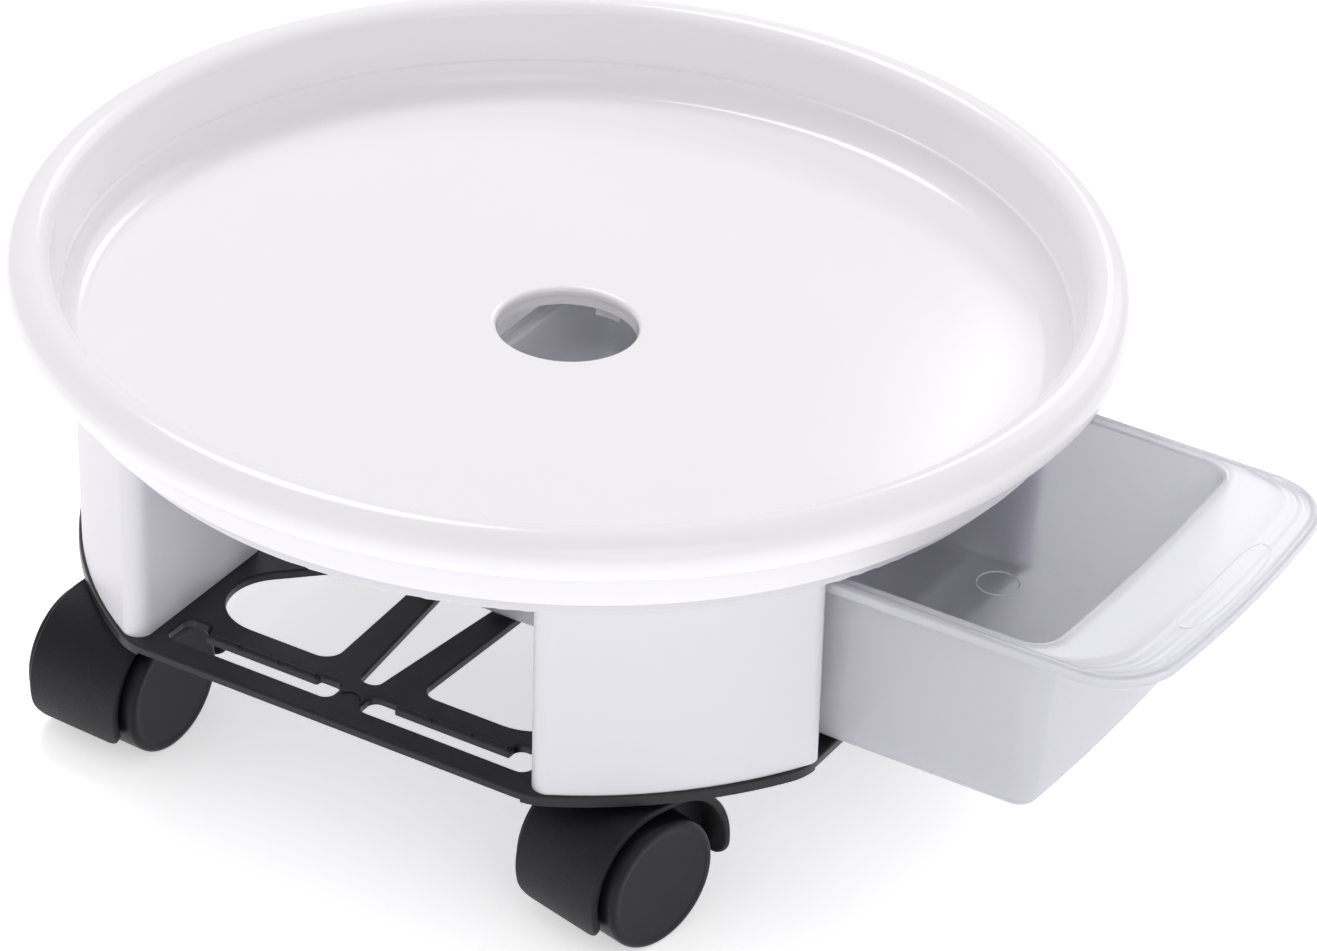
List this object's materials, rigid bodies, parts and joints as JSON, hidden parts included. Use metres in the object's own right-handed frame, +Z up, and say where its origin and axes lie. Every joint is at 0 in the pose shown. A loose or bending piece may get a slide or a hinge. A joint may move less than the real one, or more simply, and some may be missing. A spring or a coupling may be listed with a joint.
{
  "type": "plant caddy",
  "caption": "Rolling plant caddy: a round white dish with a drain hole on a legged body, an open black base on hooded twin-wheel casters, and a frosted drip drawer that pulls out.",
  "frame": {"origin": "on the ground under the middle of the dish", "axes": "+X the way the drawer pulls out, +Y to the left of it, +Z up"},
  "size_m": [0.4027, 0.34, 0.1504],
  "materials": {
    "dish_white": "smooth gloss white moulding",
    "body_white": "satin white moulding",
    "base_black": "fine-grained black moulding",
    "caster_black": "fine-grained black moulding",
    "wheel_black": "smooth matt black moulding",
    "drawer_frosted": "frosted translucent moulding",
    "steel": "zinc-plated steel",
    "screw_steel": "zinc-plated steel"
  },
  "bodies": {
    "caddy": {"dish": "dish_white", "body_shell": "body_white", "base_frame": "base_black", "base_screws": "screw_steel", "front_right_stem": "steel", "front_right_grip_ring": "steel", "rear_right_stem": "steel", "rear_right_grip_ring": "steel", "front_left_stem": "steel", "front_left_grip_ring": "steel", "rear_left_stem": "steel", "rear_left_grip_ring": "steel"},
    "drip_drawer": {"drawer": "drawer_frosted"},
    "front_right_caster": {"front_right_hood": "caster_black", "front_right_axle": "steel"},
    "front_right_inner_wheel_spinner": {"front_right_inner_wheel": "wheel_black"},
    "front_right_outer_wheel_spinner": {"front_right_outer_wheel": "wheel_black"},
    "rear_right_caster": {"rear_right_hood": "caster_black", "rear_right_axle": "steel"},
    "rear_right_inner_wheel_spinner": {"rear_right_inner_wheel": "wheel_black"},
    "rear_right_outer_wheel_spinner": {"rear_right_outer_wheel": "wheel_black"},
    "front_left_caster": {"front_left_hood": "caster_black", "front_left_axle": "steel"},
    "front_left_inner_wheel_spinner": {"front_left_inner_wheel": "wheel_black"},
    "front_left_outer_wheel_spinner": {"front_left_outer_wheel": "wheel_black"},
    "rear_left_caster": {"rear_left_hood": "caster_black", "rear_left_axle": "steel"},
    "rear_left_inner_wheel_spinner": {"rear_left_inner_wheel": "wheel_black"},
    "rear_left_outer_wheel_spinner": {"rear_left_outer_wheel": "wheel_black"}
  },
  "joints": [
    {"name": "drawer_slide", "type": "slide", "parent": "caddy", "child": "drip_drawer", "axis": [1, 0, 0], "range_m": [-0.0645, 0.1545]},
    {"name": "front_right_swivel", "type": "hinge", "parent": "caddy", "child": "front_right_caster", "pos_m": [0.08909, -0.08909, 0.045], "axis": [0, 0, 1], "continuous": true},
    {"name": "front_right_inner_wheel_spin", "type": "hinge", "parent": "front_right_caster", "child": "front_right_inner_wheel_spinner", "pos_m": [0.08522, -0.10441, 0.02075], "axis": [0.9694, -0.2453, 0], "continuous": true},
    {"name": "front_right_outer_wheel_spin", "type": "hinge", "parent": "front_right_caster", "child": "front_right_outer_wheel_spinner", "pos_m": [0.08522, -0.10441, 0.02075], "axis": [0.9694, -0.2453, 0], "continuous": true},
    {"name": "rear_right_swivel", "type": "hinge", "parent": "caddy", "child": "rear_right_caster", "pos_m": [-0.08909, -0.08909, 0.045], "axis": [0, 0, 1], "continuous": true},
    {"name": "rear_right_inner_wheel_spin", "type": "hinge", "parent": "rear_right_caster", "child": "rear_right_inner_wheel_spinner", "pos_m": [-0.09003, -0.10487, 0.02075], "axis": [0.9982, -0.0593, 0], "continuous": true},
    {"name": "rear_right_outer_wheel_spin", "type": "hinge", "parent": "rear_right_caster", "child": "rear_right_outer_wheel_spinner", "pos_m": [-0.09003, -0.10487, 0.02075], "axis": [0.9982, -0.0593, 0], "continuous": true},
    {"name": "front_left_swivel", "type": "hinge", "parent": "caddy", "child": "front_left_caster", "pos_m": [0.08909, 0.08909, 0.045], "axis": [0, 0, 1], "continuous": true},
    {"name": "front_left_inner_wheel_spin", "type": "hinge", "parent": "front_left_caster", "child": "front_left_inner_wheel_spinner", "pos_m": [0.08662, 0.07349, 0.02075], "axis": [0.9877, -0.1564, 0], "continuous": true},
    {"name": "front_left_outer_wheel_spin", "type": "hinge", "parent": "front_left_caster", "child": "front_left_outer_wheel_spinner", "pos_m": [0.08662, 0.07349, 0.02075], "axis": [0.9877, -0.1564, 0], "continuous": true},
    {"name": "rear_left_swivel", "type": "hinge", "parent": "caddy", "child": "rear_left_caster", "pos_m": [-0.08909, 0.08909, 0.045], "axis": [0, 0, 1], "continuous": true},
    {"name": "rear_left_inner_wheel_spin", "type": "hinge", "parent": "rear_left_caster", "child": "rear_left_inner_wheel_spinner", "pos_m": [-0.09075, 0.07338, 0.02075], "axis": [0.9945, -0.1045, 0], "continuous": true},
    {"name": "rear_left_outer_wheel_spin", "type": "hinge", "parent": "rear_left_caster", "child": "rear_left_outer_wheel_spinner", "pos_m": [-0.09075, 0.07338, 0.02075], "axis": [0.9945, -0.1045, 0], "continuous": true}
  ]
}
